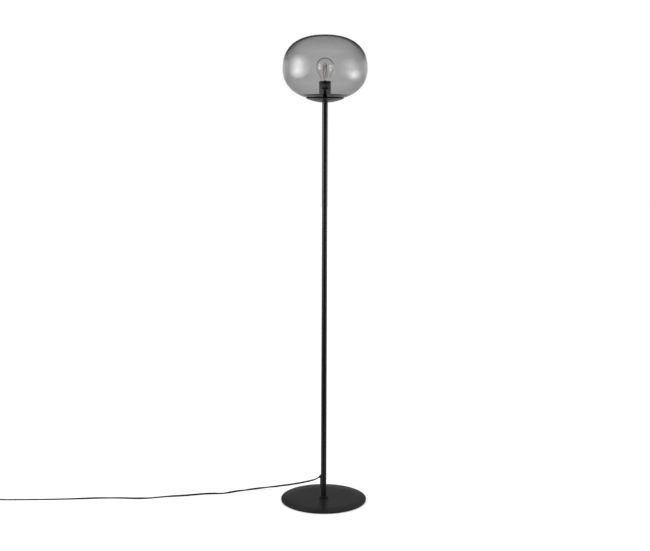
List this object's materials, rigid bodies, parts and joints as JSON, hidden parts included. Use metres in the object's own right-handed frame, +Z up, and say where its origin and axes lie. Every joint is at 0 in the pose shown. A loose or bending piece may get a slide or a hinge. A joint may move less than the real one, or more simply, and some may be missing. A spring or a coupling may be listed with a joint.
{
  "type": "globe floor lamp",
  "caption": "Floor lamp: a globe of smoked glass stands in a shallow dish on a straight pole and a flat disc base, with a lead, foot switch and plug.",
  "frame": {"origin": "on the floor under the middle of the base", "axes": "+Z up along the pole; -Y is the side that the picture shows; the cord leaves the pole towards -X"},
  "size_m": [1.4233, 0.279, 1.5],
  "materials": {
    "black_paint": "satin black powder coat",
    "black_moulding": "fine matt black",
    "black_rubber": "matt",
    "cord_jacket": "smooth black PVC",
    "steel": "zinc plated",
    "nickel": "nickel plated",
    "brass": "bare brass",
    "carrier_ceramic": "white glazed ceramic",
    "smoked_glass": "smoked clear blown glass",
    "clear_glass": "clear blown glass",
    "insulator_glass": "black moulded glass",
    "filament_coating": "coated lamp filament, unlit",
    "wire_sheath_brown": "smooth",
    "wire_sheath_blue": "smooth"
  },
  "bodies": {
    "lamp": {"base_plate": "black_paint", "base_collar": "black_paint", "pole": "black_paint", "dish": "black_paint", "socket_cup": "black_paint", "cord_outlet": "black_moulding", "lampholder_lower": "black_moulding", "lampholder_upper": "black_moulding", "switch_base": "black_moulding", "switch_cover": "black_moulding", "plug_body": "black_moulding", "base_foot_1": "black_rubber", "base_foot_2": "black_rubber", "base_foot_3": "black_rubber", "base_foot_4": "black_rubber", "shade_seal": "black_rubber", "coil_tie": "black_rubber", "cord_in_pole": "cord_jacket", "cord_to_switch": "cord_jacket", "cord_to_coil": "cord_jacket", "cord_coil": "cord_jacket", "cord_tail": "cord_jacket", "base_screw": "steel", "pole_foot_insert": "steel", "pole_top_insert": "steel", "cord_outlet_screw": "steel", "lock_washer": "steel", "lock_nut": "steel", "switch_screw_1": "steel", "switch_screw_2": "steel", "switch_spring": "steel", "plug_pin_1": "nickel", "plug_pin_2": "nickel", "threaded_nipple": "brass", "screw_shell": "brass", "centre_contact": "brass", "terminal_screw_1": "brass", "terminal_screw_2": "brass", "switch_terminal_1": "brass", "switch_terminal_2": "brass", "contact_carrier": "carrier_ceramic", "wire_1": "wire_sheath_brown", "wire_2": "wire_sheath_blue"},
    "shade": {"glass_shade": "smoked_glass"},
    "bulb_lift": {"bulb_end_contact": "nickel"},
    "bulb": {"bulb_cap": "nickel", "bulb_insulator": "insulator_glass", "bulb_glass": "clear_glass", "bulb_stem": "clear_glass", "filament_star_lower": "nickel", "filament_star_upper": "nickel", "filament_1": "filament_coating", "filament_2": "filament_coating", "filament_3": "filament_coating", "filament_4": "filament_coating"},
    "foot_button": {"switch_button": "black_moulding", "contact_bridge": "brass"}
  },
  "joints": [
    {"name": "shade_lift", "type": "slide", "parent": "lamp", "child": "shade", "axis": [0, 0, 1], "range_m": [0, 0.2]},
    {"name": "bulb_rise", "type": "slide", "parent": "lamp", "child": "bulb_lift", "axis": [0, 0, 1], "range_m": [0, 0.01088]},
    {"name": "bulb_unscrew", "type": "hinge", "parent": "bulb_lift", "child": "bulb", "pos_m": [0, 0, 1.35], "axis": [0, 0, 1], "range_deg": [0, 1080]},
    {"name": "foot_button_press", "type": "slide", "parent": "lamp", "child": "foot_button", "axis": [0, 0, -1], "range_m": [0, 0.003], "stiffness_N_per_m": 900, "springref_m": -0.001, "deforming": ["switch_spring"]}
  ],
  "couplings": [
    {"joint": "bulb_unscrew", "follows": "bulb_rise", "rad_per_m": 1731.4}
  ]
}
